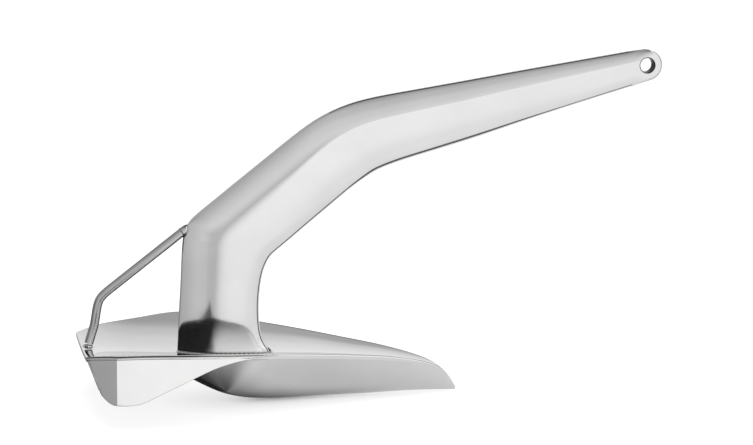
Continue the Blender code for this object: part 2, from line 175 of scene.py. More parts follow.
def smoothstep(low, high, x):
    t = np.clip((np.asarray(x, float) - low) / (high - low), 0, 1)
    return t * t * (3 - 2 * t)


rim_main = fair_curve(RIM_HALF_WIDTH, 11.0)
rim_z = fair_curve(RIM_HEIGHT, 12.0)
spine_z = fair_curve(SPINE_HEIGHT, 12.0)
wing_depth = fair_curve(WING_DEPTH, 3.0)
keel_z = fair_curve(KEEL_HEIGHT, 8.0)
hull_rear_width = fair_curve(HULL_HALF_WIDTH, 8.0)
TAIL_SLOPE = (float(rim_main(CORNER_X)) - TAIL_HALF_WIDTH) / (CORNER_X - TAIL_X)


def rim_y(x):
    """Half width of the fluke plate; its outline turns sharply in behind CORNER_X."""
    return np.minimum(rim_main(x), TAIL_HALF_WIDTH + TAIL_SLOPE * (np.asarray(x, float) - TAIL_X))


def deck_z(x, y):
    """Height of the fluke plate's scooped top face."""
    return spine_z(x) + (rim_z(x) - spine_z(x)) * (y / rim_y(x)) ** 2


# ------------------------------------------------------------------- mesh helpers


def skin(name, rings, closed=False, sharp_deg=32.0):
    """Mesh object from equal rings of points in millimetres; open ends are closed with quads."""
    rings = np.asarray(rings, float)
    count, size, _ = rings.shape
    verts = (rings.reshape(-1, 3) * MM).tolist()
    faces = []
    for a in range(count if closed else count - 1):
        b = (a + 1) % count
        for i in range(size):
            j = (i + 1) % size
            faces.append((a * size + i, a * size + j, b * size + j, b * size + i))
    if not closed:
        for base in (0, (count - 1) * size):
            for i in range(size // 2 - 1):
                faces.append((base + i, base + i + 1, base + size - 2 - i, base + size - 1 - i))
    return solid(name, verts, faces, sharp_deg)


def linked(name, verts, faces):
    """Object of a new mesh, in the scene."""
    mesh = bpy.data.meshes.new(name)
    mesh.from_pydata(verts, [], faces)
    obj = bpy.data.objects.new(name, mesh)
    scene.collection.objects.link(obj)
    return obj


def solid(name, verts, faces, sharp_deg):
    """Object with its doubled points merged, normals outwards, and sharp edges past an angle."""
    obj = linked(name, verts, faces)
    mesh = obj.data
    bm = bmesh.new()
    bm.from_mesh(mesh)
    bmesh.ops.remove_doubles(bm, verts=bm.verts, dist=0.000002)
    bmesh.ops.recalc_face_normals(bm, faces=bm.faces)
    bm.to_mesh(mesh)
    bm.free()
    mesh.shade_smooth()
    mesh.set_sharp_from_angle(angle=math.radians(sharp_deg))
    return obj


def dress(obj, material):
    obj.data.materials.clear()
    obj.data.materials.append(material)


def stand_in(obj, nodes, material):
    """The piece rides on the body, stands for CAD nodes and gets its material."""
    dress(obj, material)
    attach(obj, "root")
    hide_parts(*nodes)


# ---------------------------------------------------------------------- surfaces


def deck_ring(x, shrink=0.0):
    """Cross section of the fluke plate with rounded rim edges."""
    half = float(rim_y(x)) - shrink
    edge = 0.7 + 1.7 * float(smoothstep(-190, -150, x))
    thick = DECK_THICKNESS - shrink
    ys = np.linspace(-1, 1, 121) * (half - edge)
    top = [(y, float(deck_z(x, y)) - shrink) for y in ys]
    bottom = [(y, float(deck_z(x, y)) - thick) for y in ys[::-1]]
    turn = np.linspace(0, math.pi / 2, 6)[1:]
    rim_top = float(deck_z(x, half)) - shrink
    rim_foot = float(deck_z(x, half)) - thick
    seat = half - BEAD_SEAT * (1 - float(smoothstep(-200, RIM_WELD_FRONT_X, x)))
    right = [(half - edge + edge * math.sin(a), rim_top - edge + edge * math.cos(a)) for a in turn]
    right += [(half, rim_top - edge - 0.2), (seat, rim_top - edge - 0.35),
              (seat, rim_foot + 0.1), (seat - 0.1, rim_foot)]
    left = [(-y, z) for y, z in right[::-1]]
    return [(x, y, z) for y, z in top + right + bottom + left]


def build_deck():
    rings = []
    for turn in np.linspace(0, math.pi / 2, 6)[:-1]:
        rings.append(deck_ring(TAIL_X + DECK_END_ROUND * (1 - math.cos(turn)),
                               DECK_END_ROUND * (1 - math.sin(turn))))
    xs = np.concatenate([np.linspace(TAIL_X + DECK_END_ROUND, CORNER_X, 20),
                         np.linspace(CORNER_X, DECK_FRONT_X, 230)[1:]])
    rings += [deck_ring(x) for x in xs]
    # Start the ring at the rim so that the end caps pair top points with bottom points.
    rings = np.roll(np.array(rings), 4, axis=1)
    return skin("fluke_deck_plate", rings)


NORMAL_LENGTH = math.hypot(1.0, WING_SPREAD)
WING_TOP_DEPTH = (WING_THICKNESS / NORMAL_LENGTH + 0.3) / WING_SPREAD
CREASE_LEAN = 5.0 / 64.0


def wing_line(u, count):
    """Outer face of the wing along one rib: u runs from -1 at the tail to 1 at the front."""
    v = np.linspace(0, 1, count)
    base = CORNER_X + (WING_END_X - CORNER_X) * max(u, 0.0)
    fade = 1.0 - float(smoothstep(CORNER_X, -392.0, base))
    foot = float(wing_depth(base))
    for _ in range(4):
        foot = float(wing_depth(base - CREASE_LEAN * foot * fade))
    depth = WING_TOP_DEPTH + (foot - WING_TOP_DEPTH) * v
    x = base - CREASE_LEAN * depth * fade
    y = rim_main(x) + WING_SPREAD * depth
    if u < 0:
        tail_foot = WING_TAIL_FOOT_X + (x[-1] - WING_TAIL_FOOT_X) * (1 + u) ** 0.8
        tail_depth = WING_TOP_DEPTH + (float(wing_depth(tail_foot)) - WING_TOP_DEPTH) * v
        crease_x, crease_y, crease_depth = x, y, depth
        x_top = WING_TAIL_X + (x[0] - WING_TAIL_X) * (1 + u)
        x = x_top + (tail_foot - x_top) * v
        depth = tail_depth
        tail_y = lambda px, d: TAIL_HALF_WIDTH + TAIL_SLOPE * (px - TAIL_X) + WING_SPREAD * d
        gap = crease_y - tail_y(crease_x, crease_depth)
        y = tail_y(x, depth) + np.interp(depth, crease_depth, gap) * (1 + u)
    return np.stack([x, y, rim_z(x) - depth], axis=1)


def wing_ring(u, shrink=0.0):
    """Closed rib section of the wing plate with a rounded foot."""
    inward = np.array([0.0, -1.0, -WING_SPREAD]) / NORMAL_LENGTH
    outer = wing_line(u, 34)
    down = outer[-1] - outer[-2]
    down /= np.linalg.norm(down)
    span = np.linalg.norm(outer[-1] - outer[0])
    edge = min(0.9, 0.3 * span)
    bevel = min(4.5, 0.6 * span)
    keep = outer[0] + (outer - outer[0]) * max(0.02, (span - edge - shrink) / span)
    back = outer[0] + (outer - outer[0]) * max(0.02, (span - bevel - shrink) / span)
    turn = np.linspace(0, math.pi / 2, 5)[1:]
    arc = [keep[-1] + down * edge * math.sin(a) + inward * (edge * (1 - math.cos(a))) for a in turn]
    loop = np.array([*(keep + inward * shrink), *arc,
                     *(back + inward * (WING_THICKNESS - shrink))[::-1]])
    turned = len(outer) + len(arc)
    lip, inner = loop[turned - 1], loop[turned]
    filler = lip + (inner - lip) * np.array([[0.25], [0.5], [0.75], [0.9]])
    return np.concatenate([loop[:turned], filler, loop[turned:]])


def build_wing(name, side):
    rings = []
    for turn in np.linspace(0, math.pi / 2, 5)[:-1]:
        ring = wing_ring(-1.0, WING_END_ROUND * (1 - math.sin(turn)))
        ring[:, 0] += WING_END_ROUND * (1 - math.cos(turn)) - 0.3
        rings.append(ring)
    us = np.concatenate([np.linspace(-0.93, 0, 20), np.linspace(0, 1, 150)[1:]])
    rings += [wing_ring(u) for u in us]
    rings = np.array(rings)
    rings[:, :, 1] *= side
    return skin(name, rings, sharp_deg=14.0)


def build_rim_weld(name, side):
    """Ground bead that rounds the corner between the plate's rim and the wing."""
    rings = []
    xs = np.concatenate([np.linspace(-484, CORNER_X, 24),
                         np.linspace(CORNER_X, RIM_WELD_FRONT_X, 200)[1:]])
    for x in xs:
        depth = WING_TOP_DEPTH - 0.2
        if x > -262:
            depth = min(depth, max(0.62 * float(wing_depth(x)), 1.0))
        if x < -478:
            depth *= 0.55 + 0.45 * (x + 484) / 6
        reach = WING_SPREAD * depth
        y, z = float(rim_y(x)), float(rim_z(x))
        drop = min(2.0, 0.6 * depth)
        t = np.linspace(0, 1, 11)
        ripple = 0.07 * math.sin(x * 1.55) + 0.04 * math.sin(x * 0.61 + 1.0)
        arc_y = 0.3 * (1 - t) ** 2 + 2 * t * (1 - t) * (0.80 * reach + ripple) + t**2 * reach
        arc_z = -drop * (1 - t) ** 2 - 2 * t * (1 - t) * (0.8 * drop + 0.1 * depth - ripple) - t**2 * depth
        inner = np.linspace(1, 0, 12)
        loop = [(x, side * (y - BEAD_SEAT), z - drop - 0.15)]
        loop += [(x, side * (y + a), z + b) for a, b in zip(arc_y, arc_z)]
        loop += [(x, side * (y - 0.5 + (reach * 0.92 + 0.5) * i), z - depth - 2.6 * (1 - i)) for i in inner]
        rings.append(loop)
    return skin(name, rings, sharp_deg=50)


def hull_width(x):
    return float(hull_rear_width(x)) if x < -185 else float(rim_y(x))


def hull_path(x, inset=0.0, count=44):
    """(y, z) points of the hull side from the plate down to the keel bar."""
    top_y = hull_width(x)
    top_z = float(deck_z(x, top_y)) - DECK_THICKNESS
    foot_z = float(keel_z(x))
    run, drop = top_y - KEEL_SIDE_Y, top_z - foot_z
    chord = math.hypot(run, drop)
    out_y, out_z = drop / chord, -run / chord
    t = np.linspace(0, 1, count)
    belly = HULL_BULGE * chord * 4 * t * (1 - t) - inset
    y = top_y - run * t + out_y * belly
    z = top_z - drop * t + out_z * belly
    if inset:
        y[0] = top_y - min(inset / out_y, 2.5 * inset)
        z[0] = float(deck_z(x, y[0])) - DECK_THICKNESS - 0.3
        z = np.minimum(z, float(deck_z(x, y[0])) - DECK_THICKNESS - 0.3)
        y = np.maximum(y, KEEL_SIDE_Y - 0.3)
    return y, z


def build_hull_side(name, side):
    rings = []
    for x in np.linspace(HULL_REAR_X, DECK_FRONT_X, 150):
        y, z = hull_path(x)
        yi, zi = hull_path(x, HULL_THICKNESS)
        outer = [(x, side * a, b) for a, b in zip(y, z)]
        inner = [(x, side * a, b) for a, b in zip(yi[::-1], zi[::-1])]
        rings.append(outer + inner)
    return skin(name, rings, sharp_deg=40)


def build_keel_seam():
    rings = []
    for x in np.linspace(HULL_REAR_X, DECK_FRONT_X, 190):
        base = float(keel_z(x))
        ripple = 0.10 * math.sin(x * 1.7) + 0.05 * math.sin(x * 0.73)
        t = np.linspace(-1, 1, 13)
        bottom = [(x, KEEL_SIDE_Y * s, base + 0.5 - 1.55 * (1 - s * s) + ripple * (1 - s * s) + 0.12)
                  for s in t]
        top = [(x, 3.0 * s, base + KEEL_BAR_HEIGHT) for s in t[::-1]]
        rings.append(bottom + top)
    return skin("keel_weld_bar", rings, sharp_deg=50)


def toe_ring(x):
    half = float(rim_y(x))
    late = float(smoothstep(DECK_FRONT_X, 128, x))
    edge = min(2.4, 0.3 * half)
    ys = np.linspace(-1, 1, 49) * (half - edge)
    top = [(y, float(deck_z(x, y))) for y in ys]
    rim = float(rim_z(x))
    foot = float(keel_z(x)) - 1.2 + 0.12
    wall = DECK_THICKNESS * (1 - late) + 0.12 * (rim - foot) * late
    turn = np.linspace(0, math.pi / 2, 6)[1:]
    side = [(half - edge + edge * math.sin(a), rim - edge + edge * math.cos(a)) for a in turn]
    side.append((half, rim - max(wall, edge + 0.2)))
    top_z, keel_y = side[-1][1], min(3.0, half * 0.5)
    run, drop = half - keel_y, top_z - (foot + 0.5)
    chord = math.hypot(run, drop)
    for t in np.linspace(0, 1, 22)[1:]:
        belly = HULL_BULGE * chord * 4 * t * (1 - t)
        side.append((half - run * t + drop / chord * belly, top_z - drop * t - run / chord * belly))
    side += [(keel_y * s, foot + 0.5 * s * s) for s in (0.66, 0.33, 0.0)]
    left = [(-y, z) for y, z in side[-2::-1]]
    return [(x, y, z) for y, z in top + side + left]


def build_toe():
    nose = np.sin(np.linspace(0.08, 1, 16) * math.pi / 2)
    xs = np.concatenate([np.linspace(DECK_FRONT_X, TOE_NOSE_X, 50), TOE_NOSE_X + TOE_NOSE_LENGTH * nose])
    return skin("toe_beak", [toe_ring(x) for x in xs], sharp_deg=36)


# ------------------------------------------------------------------------- shank


def shank_path():
    """Fair edge curves, half thickness and crease along the shank, evenly resampled."""
    table = np.array(SHANK_STATIONS, float)
    middle = (table[:, 0:2] + table[:, 2:4]) / 2
    run = lengths(middle)
    fine = np.arange(0, run[-1] + 0.25, 1.0)
    columns = [hermite(list(zip(run, table[:, k])), fine) for k in range(6)]
    spreads = (12, 12, 5, 5, 18, 24)
    columns = [blurred(c, 1.0, s) for c, s in zip(columns, spreads)]
    return fine, columns


SHANK_RUN, SHANK_COLUMNS = shank_path()


def shank_station(s):
    rx, rz, fx, fz, half, crease = (float(np.interp(s, SHANK_RUN, c)) for c in SHANK_COLUMNS)
    rear, front = np.array([rx, rz]), np.array([fx, fz])
    across = front - rear
    chord = float(np.hypot(*across))
    length = chord + 1.4 * float(smoothstep(-140, -50, rx) * (1 - smoothstep(120, 330, rx)))
    return rear, across / chord, length, half, crease


def half_profile(length, half, crease, soft, bevel, groove, bend, power):
    """(along, y) points of one half of the shank from the rear or top seam to the other."""
    seam = SEAM_HALF + 0.15
    knee = crease * length
    corner = length - bevel
    a1 = knee * np.linspace(0, 1, 24) ** 1.25
    a2 = knee + (corner - knee) * np.linspace(0, 1, 34)[1:] ** 0.9
    along = np.concatenate([a1, a2])
    t = along / knee
    rise = np.where(t < 1, 1.52 * t - 0.52 * t * t, 1 + 0.48 * (t - 1))
    upper = seam + TOP_ROLL * (1 - np.exp(-along / 0.8)) + (half - seam - TOP_ROLL) * rise
    q = np.clip((along - knee) / (corner - knee), 0, 1)
    lower = half * (1 - bend * q**2 - (0.21 - bend) * q**power)
    low = np.minimum(upper, lower)
    y = low - soft * np.log1p(np.exp(-np.abs(upper - lower) / soft))
    points = list(zip(along, y))
    last = y[-1]
    wide = 0.35 + groove
    lip = bevel - wide - 0.55
    for step, depth in ((0.15, 0.75), (0.35, 1.0), (wide, 1.0), (wide + 0.2, 0.60), (wide + 0.4, 0.30)):
        points.append((corner + step, last - depth * groove - 0.15 * step))
    start_a, start_y = points[-1]
    for k, sink in ((0.35, 0.15), (0.7, 0.45), (0.9, 1.1), (1.0, 2.0)):
        points.append((start_a + lip * k, start_y - sink))
    start_a, start_y = points[-1]
    for k in (0.3, 0.6, 1.0):
        points.append((start_a + (length - start_a) * k, start_y + (seam - start_y) * k))
    return np.array(points)


def shank_look(s):
    """Shape of the half profile at a distance along the shank: crease, bevel, groove and crown."""
    rear_x = float(np.interp(s, SHANK_RUN, SHANK_COLUMNS[0]))
    sharp = float(smoothstep(-300, -90, rear_x))
    soft = 1.05 * (1 - sharp) + 0.05 * sharp
    groove = 1.1 + 1.4 * float(smoothstep(-150, -60, rear_x)) - 1.9 * float(smoothstep(120, 330, rear_x))
    bevel = 1.25 * groove + 2.5
    bend = 0.03 + 0.04 * sharp
    power = 7.0 - 1.5 * sharp
    return soft, bevel, groove, bend, power


def shank_samples():
    total = SHANK_RUN[-1]
    return np.concatenate([np.linspace(0, 60, 40), np.linspace(60, total, 330)[1:]])


def landed(x, y, z, s):
    """Heights of a section, brought down onto the plate close to the shank's foot."""
    if s >= FOOT_BLEND:
        return z
    return z + (1 - s / FOOT_BLEND) * (deck_z(x, y) + FOOT_LIFT - z)


def shank_outer(s):
    """World points of the half profile, on the +Y side, at a distance along the shank."""
    rear, across, length, half, crease = shank_station(s)
    profile = half_profile(length, half, crease, *shank_look(s))
    x = rear[0] + across[0] * profile[:, 0]
    z = rear[1] + across[1] * profile[:, 0]
    y = profile[:, 1]
    return np.stack([x, y, landed(x, y, z, s)], axis=1)


def build_shell(name, side):
    rings = []
    for s in shank_samples():
        outer = shank_outer(s)
        rear, across, length, _, _ = shank_station(s)
        along = SHELL_WALL + (length - 2 * SHELL_WALL) * np.linspace(0, 1, len(outer))
        x, z = rear[0] + across[0] * along, rear[1] + across[1] * along
        y = np.maximum(outer[:, 1] - SHELL_WALL, 0.3 * outer[:, 1])
        y[0] = y[-1] = SEAM_HALF + 0.15
        core = np.stack([x, y, landed(x, y, z, s)], axis=1)
        ring = np.concatenate([outer, core[::-1]])
        ring[:, 1] *= side
        rings.append(ring)
    return skin(name, rings, sharp_deg=15)


def build_seam(name, at_front):
    """Ground weld strip between the two shells along one edge of the shank."""
    rings = []
    for s in shank_samples():
        rear, across, length, _, _ = shank_station(s)
        edge = rear + across * length if at_front else rear
        inward = -across if at_front else across
        t = np.linspace(-1, 1, 11)
        crown = 0.55 * (1 - t**2) + 0.05 * math.sin(s * 1.9) * (1 - t**2)
        outer = [(edge[0] - inward[0] * c, k * (SEAM_HALF + 0.12), edge[1] - inward[1] * c)
                 for k, c in zip(t, crown)]
        inner = [(edge[0] + inward[0] * 6, k * SEAM_HALF, edge[1] + inward[1] * 6) for k in t[::-1]]
        ring = np.array(outer + inner)
        ring[:, 2] = landed(*ring.T, s)
        rings.append(ring)
    return skin(name, rings, sharp_deg=50)


def build_foot_weld():
    """Bead round the shank's foot, with the fine ripple of a ground weld."""
    port = shank_outer(0.0)[:, :2]
    port[0] = (port[0, 0] - 0.5, 0.0)
    port[-1] = (port[-1, 0] + 0.5, 0.0)
    outline = np.concatenate([port, port[-2:0:-1] * (1, -1)])
    closed = np.concatenate([outline, outline[:1]])
    run = lengths(closed)
    count = 340
    s = np.linspace(0, run[-1], count, endpoint=False)
    x, y = np.interp(s, run, closed[:, 0]), np.interp(s, run, closed[:, 1])
    kernel = np.hanning(13)
    kernel /= kernel.sum()
    smooth = lambda v: np.convolve(np.concatenate([v[-6:], v, v[:6]]), kernel, "valid")
    x, y = smooth(x), smooth(y)
    dx, dy = np.roll(x, -1) - np.roll(x, 1), np.roll(y, -1) - np.roll(y, 1)
    norm = np.hypot(dx, dy)
    out_x, out_y = -dy / norm, dx / norm
    if (out_x * (x + 250) + out_y * y).sum() < 0:
        out_x, out_y = -out_x, -out_y
    rings = []
    for i in range(count):
        ripple = 0.10 * math.sin(s[i] * 2.1) + 0.10 * math.sin(s[i] * 0.83 + 2)
        loop = []
        for a in np.linspace(0, 1, 11):
            reach = -1.2 + (3.9 + ripple) * a
            rise = 3.3 * (1 - a) ** 0.8 + ripple * math.sin(a * math.pi) + 0.1
            loop.append((reach, rise))
        loop += [(2.7 - 3.9 * k, -0.8) for k in np.linspace(0, 1, 11)]
        ring = []
        for reach, rise in loop:
            px, py = x[i] + out_x[i] * reach, y[i] + out_y[i] * reach
            ring.append((px, py, float(deck_z(px, py)) + rise))
        rings.append(ring)
    return skin("foot_weld_bead", rings, closed=True, sharp_deg=60)


def build_eye():
    """Shank end: round nose and a chamfered bore, its cheeks faired out of the shank's facets."""
    total = SHANK_RUN[-1]
    rear, across, length, half, crease = shank_station(total)
    profile = half_profile(length, half, crease, *shank_look(total))
    forward = np.array([-across[1], across[0]])
    centre = np.array([EYE_X, EYE_Z])
    top, bottom = rear, rear + across * length
    arc = np.radians(np.linspace(98, -72, 90))
    nose = centre + EYE_RADIUS * np.stack([np.cos(arc), np.sin(arc)], axis=1)
    back = bottom + (top - bottom) * np.linspace(0, 1, 26)[:, None]
    outline = np.concatenate([back, top + (nose[0] - top) * np.linspace(0, 1, 14)[1:-1, None], nose,
                              nose[-1] + (bottom - nose[-1]) * np.linspace(0, 1, 14)[1:-1, None]])
    angle = np.arctan2(outline[:, 1] - EYE_Z, outline[:, 0] - EYE_X)
    bore = centre + EYE_BORE_RADIUS * np.stack([np.cos(angle), np.sin(angle)], axis=1)

    def cheek(points, margin):
        """Half thickness at points in the centre plane, margin being their distance to the rim."""
        offset = (points - rear) @ np.stack([forward, across], axis=1)
        ahead, along = offset[:, 0], np.clip(offset[:, 1] / length, 0, 1) * length
        shank_y = np.interp(along, profile[:, 0], profile[:, 1])
        rounded = EYE_HALF_THICKNESS - 3.2 * np.clip(1 - margin / 4.2, 0, 1) ** 2
        upper = 1 - smoothstep(0.0, 1.0, along / (crease * length))
        mix = smoothstep(6.0 + 14.0 * upper, 38.0 + 36.0 * upper, ahead)
        return shank_y * (1 - mix) + rounded * mix

    span = np.linalg.norm(outline - bore, axis=1)
    radial = np.concatenate([[0.0, 0.03, 0.07, 0.11], np.linspace(0.16, 0.86, 16),
                             [0.90, 0.94, 0.97, 0.99, 1.0]])
    levels = []
    for f in radial:
        points = bore + (outline - bore) * f
        y = cheek(points, (1 - f) * span)
        chamfer = 1.8 * np.clip(1 - f * span / 1.8, 0, 1) ** 1.5
        levels.append((points, y - chamfer))
    over = np.linspace(1, -1, 9)[1:-1]
    loop = [(level, 1.0) for level in levels] + [(levels[-1], k) for k in over]
    loop += [(level, -1.0) for level in levels[::-1]] + [(levels[0], -k) for k in over]
    rings = [np.stack([points[:, 0], k * y, points[:, 1]], axis=1) for (points, y), k in loop]
    return skin("shackle_eye_ring", rings, closed=True, sharp_deg=38)


# ---------------------------------------------------------------------- roll bar


def rod_line():
    points = np.array(ROD_PATH, float)
    run = lengths(points)
    fine = np.arange(0, run[-1], 1.0)
    x = blurred(np.interp(fine, run, points[:, 0]), 1.0, 5.0)
    z = blurred(np.interp(fine, run, points[:, 1]), 1.0, 5.0)
    return np.stack([x, z], axis=1)


def build_rod():
    line = rod_line()
    head = line[0] + (line[0] - line[5]) / np.linalg.norm(line[0] - line[5]) * ROD_HEAD_LENGTH
    part = np.linspace(0, 1, 20)[:-1, None]
    dip = np.array([2.4, -3.2]) * np.clip(1 - part / 0.6, 0, 1) ** 2
    line = np.concatenate([head + (line[0] - head) * part + dip, line])
    way = np.gradient(line, axis=0)
    way /= np.linalg.norm(way, axis=1)[:, None]
    around = np.linspace(0, 2 * math.pi, 56, endpoint=False)
    rings = []
    for (x, z), (tx, tz) in zip(line, way):
        narrow = 0.35 + 0.65 * float(smoothstep(0, 11, math.dist(line[0], (x, z))))
        rings.append([(x - tz * ROD_RADIUS * math.cos(a), ROD_RADIUS * narrow * math.sin(a),
                       z + tx * ROD_RADIUS * math.cos(a)) for a in around])
    return skin("roll_bar_rod", rings, sharp_deg=50)


def build_collar(name, axis_point, axis, wall_point, wall_normal, leg, beat):
    """Rippled fillet bead round the rod where it meets a wall."""
    axis, normal = Vector(axis).normalized(), Vector(wall_normal).normalized()
    side = Vector((0, 1, 0))
    up = axis.cross(side).normalized()
    rings = []
    for angle in np.linspace(0, 2 * math.pi, 132, endpoint=False):
        around = side * math.cos(angle) + up * math.sin(angle)
        size = leg * (1 + 0.10 * math.sin(beat * angle) + 0.06 * math.sin(5 * angle + 1.2))
        loop = []
        for t in np.linspace(0, 1, 12):
            reach = 0.1 + size * (1 - t) ** 1.25
            height = 0.1 + size * t**1.25 + 0.10 * size * math.sin(math.pi * t)
            loop.append((reach, height))
        loop += [(-1.2, size * (1 - t)) for t in np.linspace(0, 1, 12)]
        ring = []
        for reach, height in loop:
            start = Vector(axis_point) + around * (ROD_RADIUS + reach)
            travel = (height - (start - Vector(wall_point)).dot(normal)) / axis.dot(normal)
            ring.append(tuple(start + axis * travel))
        rings.append(ring)
    return skin(name, rings, closed=True, sharp_deg=60)


# --------------------------------------------------------------------- materials


class Graph:
    """Small helper that adds and wires shader nodes."""

    def __init__(self, tree):
        self.tree = tree

    def add(self, kind, **settings):
        node = self.tree.nodes.new(kind)
        for key, value in settings.items():
            setattr(node, key, value)
        return node

    def link(self, source, target):
        self.tree.links.new(source, target)

    def put(self, socket, value):
        if isinstance(value, bpy.types.NodeSocket):
            self.link(value, socket)
        else:
            socket.default_value = value

    def fill(self, node, values):
        """Set or wire several named inputs of a node."""
        for key, value in values.items():
            self.put(node.inputs[key], value)

    def math(self, operation, a, b=0.0):
        node = self.add("ShaderNodeMath", operation=operation)
        for socket, value in zip(node.inputs, (a, b)):
            self.put(socket, value)
        return node.outputs[0]

    def times(self, a, b):
        return self.math("MULTIPLY", a, b)

    def plus(self, a, b):
        return self.math("ADD", a, b)

    def minus(self, a, b):
        return self.math("SUBTRACT", a, b)

    def length(self, a, b):
        """Distance from the origin to (a, b)."""
        return self.math("SQRT", self.plus(self.times(a, a), self.times(b, b)))

    def bearing(self, x, y):
        """Angle from the front (-Y) towards the left (-X), in radians."""
        return self.math("ARCTAN2", self.times(x, -1.0), self.times(y, -1.0))

    def window(self, value, stops):
        """1 between the middle two of four angles in degrees, fading to 0 at the outer two."""
        a, b, c, d = (math.radians(v) for v in stops)
        return self.times(self.span(value, a, b), self.span(value, c, d, 1.0, 0.0))

    def curve(self, value, stops):
        """Piecewise smooth value by angle, from (degrees, value) stops."""
        total = stops[0][1]
        for (a, va), (b, vb) in zip(stops, stops[1:]):
            total = self.plus(total, self.span(value, math.radians(a), math.radians(b), 0.0, vb - va))
        return total

    def place(self):
        return self.add("ShaderNodeTexCoord").outputs["Object"]

    def split(self, vector):
        """The x, y and z outputs of a vector."""
        node = self.add("ShaderNodeSeparateXYZ")
        self.link(vector, node.inputs[0])
        return tuple(node.outputs)

    def span(self, value, low, high, out_low=0.0, out_high=1.0):
        """Smooth step from out_low at low to out_high at high."""
        node = self.add("ShaderNodeMapRange", interpolation_type="SMOOTHSTEP")
        for socket, v in zip(node.inputs, (value, low, high, out_low, out_high)):
            self.put(socket, v)
        return node.outputs[0]

    def noise(self, vector, scale, detail=2.0, rough=0.5, stretch=(1, 1, 1)):
        mapping = self.add("ShaderNodeMapping")
        self.fill(mapping, {"Scale": stretch, "Vector": vector})
        node = self.add("ShaderNodeTexNoise")
        self.fill(node, {"Vector": mapping.outputs[0], "Scale": scale, "Detail": detail,
                         "Roughness": rough})
        return node.outputs[0]

    def blend(self, factor, a, b):
        node = self.add("ShaderNodeMix", data_type="RGBA")
        self.fill(node, {"Factor": factor, "A": a, "B": b})
        return node.outputs["Result"]

    def bump(self, height, distance, normal=None):
        node = self.add("ShaderNodeBump")
        self.fill(node, {"Distance": distance, "Strength": 1.0, "Height": height})
        if normal is not None:
            self.link(normal, node.inputs["Normal"])
        return node.outputs[0]


def crevice_shade(g, reach, dark=0.42, unshaded=0.74):
    """1 in tight corners and grooves, where shade is painted into the steel's colour; 0 on open faces."""
    node = g.add("ShaderNodeAmbientOcclusion", samples=8)
    node.inputs["Distance"].default_value = reach
    return g.span(node.outputs["AO"], dark, unshaded, 1.0, 0.0)


def new_material(name):
    material = bpy.data.materials.new(name)
    material.use_nodes = True
    return material, Graph(material.node_tree), material.node_tree.nodes["Principled BSDF"]


STEEL = (0.60, 0.60, 0.597, 1.0)
STEEL_DEEP = (0.565, 0.565, 0.565, 1.0)
STEEL_SPECK = (0.42, 0.42, 0.42, 1.0)
# Painted shade: the near black blended into the steel's colour; the crevice shade's reach and limits; the
# radii of the dark ring round the bore; the x span over which the deck's rear darkens.
SHADE_BLACK = (0.035, 0.035, 0.035, 1.0)
CORNER = (0.0022, 0.42, 0.74)
BORE_SHADE_RING = (0.0014, 0.0020)
REAR_SHADE_X = (-0.37, -0.21)


def polished_steel(name, grain=(1.0, 1.0, 1.0), haze=1.0, corner=CORNER, edge=(0.0, 1.0, 1.0),
                   deep=1.0, tail=1.0, bore=None):
    """Mirror-polished stainless: faint waviness, buffing lines along the grain, haze, rare scratches.

    corner is the reach and limits of the painted crevice shade. The share of its tone that the steel keeps,
    the rest being painted shade, goes from deep, at the first facing value of edge, to edge's last number
    at the second, and is tail times that at the rear. bore is the x, z and radius of a hole with a dark rim
    of painted shade.
    """
    material, g, shader = new_material(name)
    place = g.place()
    wave = g.noise(place, 22.0, 1.0)
    cloud = g.noise(place, 9.0, 4.0, 0.6)
    lines = g.noise(place, 900.0, 3.0, 0.65, grain)
    specks = g.noise(place, 1500.0, 2.0, 0.7)
    scratch = g.noise(place, 420.0, 1.0, 0.4, (grain[2], grain[0] * 0.35 + 0.02, grain[1]))
    scratch = g.span(scratch, 0.70, 0.76)
    rough = g.span(cloud, 0.30, 0.75, 0.045 * haze, 0.085 * haze)
    rough = g.plus(rough, g.times(lines, 0.035 * haze))
    rough = g.plus(rough, g.times(scratch, 0.05))
    tone = g.blend(g.span(cloud, 0.25, 0.8), STEEL, STEEL_DEEP)
    tone = g.blend(g.times(g.span(specks, 0.66, 0.8), 0.10), tone, STEEL_SPECK)
    # Painted shade: faces turned away from the view are blended towards black, keeping from deep to edge's
    # last number of their colour, and the deck's rear keeps only tail times that.
    facing = g.add("ShaderNodeLayerWeight").outputs["Facing"]
    x, _, z = g.split(place)
    rear_keep = g.span(x, *REAR_SHADE_X, tail, 1.0)
    shade = g.minus(1.0, g.times(g.span(facing, edge[0], edge[1], deep, edge[2]), rear_keep))
    tone = g.blend(shade, tone, SHADE_BLACK)
    # Painted shade in crevices and grooves: the colour goes towards black where ambient occlusion is low.
    tone = g.blend(g.times(crevice_shade(g, *corner), 0.9), tone, SHADE_BLACK)
    # Painted shade: a dark ring just outside the bore's radius, for the shade on its chamfer.
    if bore:
        radius = g.length(g.minus(x, bore[0]), g.minus(z, bore[1]))
        rim = g.span(radius, bore[2] + BORE_SHADE_RING[0], bore[2] + BORE_SHADE_RING[1], 0.85, 0.0)
        tone = g.blend(rim, tone, SHADE_BLACK)
    normal = g.bump(wave, 0.00006)
    normal = g.bump(lines, 0.0000012, normal)
    normal = g.bump(scratch, 0.0000015, normal)
    # Grazing reflections are tinted down to edge's last number as well: painted shade on turned-away faces.
    g.fill(shader, {"Base Color": tone, "Specular Tint": (edge[2], edge[2], edge[2], 1.0),
                    "Roughness": rough, "Metallic": 1.0, "Normal": normal})
    return material


